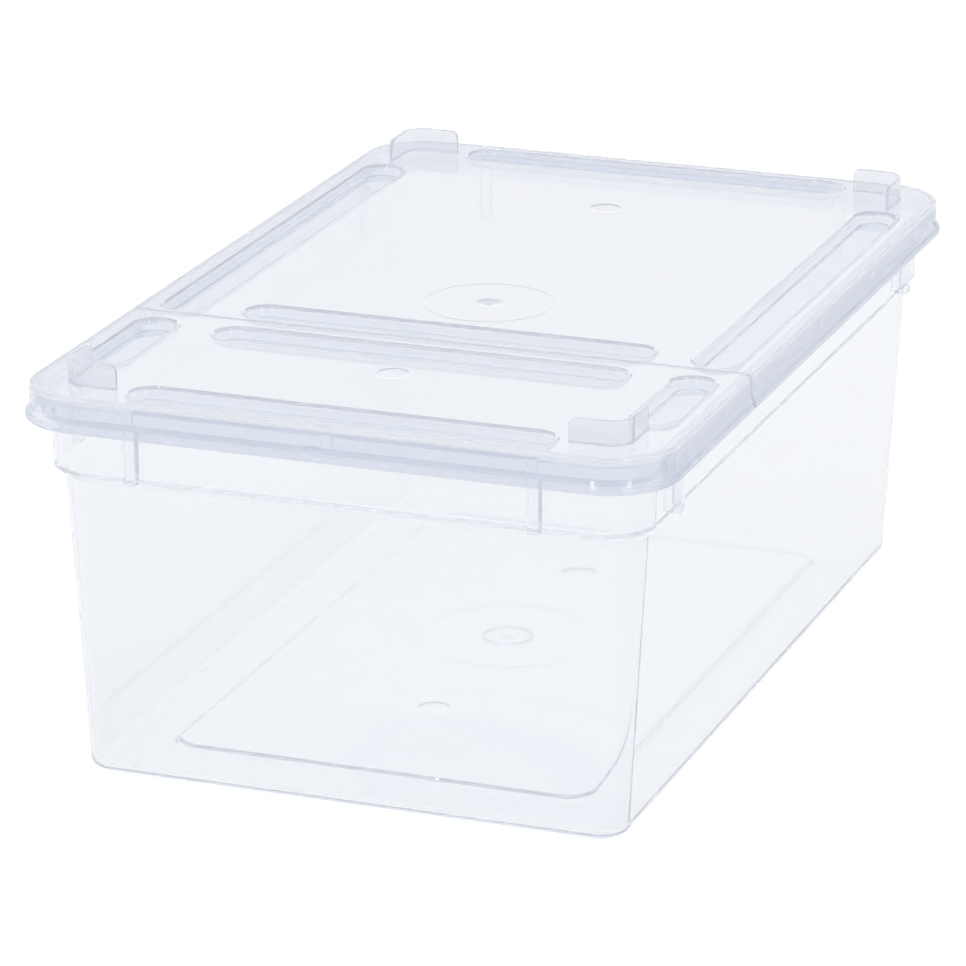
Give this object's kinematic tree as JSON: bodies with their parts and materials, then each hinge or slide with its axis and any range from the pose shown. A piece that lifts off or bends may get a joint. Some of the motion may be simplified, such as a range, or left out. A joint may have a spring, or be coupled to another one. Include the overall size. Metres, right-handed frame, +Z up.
{
  "type": "stackable storage bin",
  "caption": "Clear moulded storage bin with a drafted tub, stiffening ribs and a push-fit lid that a living hinge splits into a short front flap and a long rear panel.",
  "frame": {"origin": "centre of the foot, at the height the bin rests on", "axes": "+Z up, +Y towards the end of the long rear lid panel, -Y towards the front flap, +X to the right when facing the flap from outside"},
  "size_m": [0.3, 0.46, 0.1921],
  "materials": {
    "clear_tub": "clear polypropylene, faint blue-grey tint, moulded semi-gloss",
    "clear_lid": "clear polypropylene, slightly deeper blue-grey tint, glossy top",
    "clear_hinge": "thin clear polypropylene film, stress-greyed"
  },
  "bodies": {
    "tub": {"tub": "clear_tub"},
    "lid": {"lid_rear_panel": "clear_lid", "living_hinge": "clear_hinge"},
    "flap": {"lid_front_flap": "clear_lid"}
  },
  "joints": [
    {"name": "lid_lift", "type": "slide", "parent": "tub", "child": "lid", "axis": [0, 0, 1], "range_m": [0, 0.06]},
    {"name": "flap_hinge", "type": "hinge", "parent": "lid", "child": "flap", "pos_m": [0, -0.0946, 0.1811], "axis": [-1, 0, 0], "range_deg": [0, 170]}
  ]
}
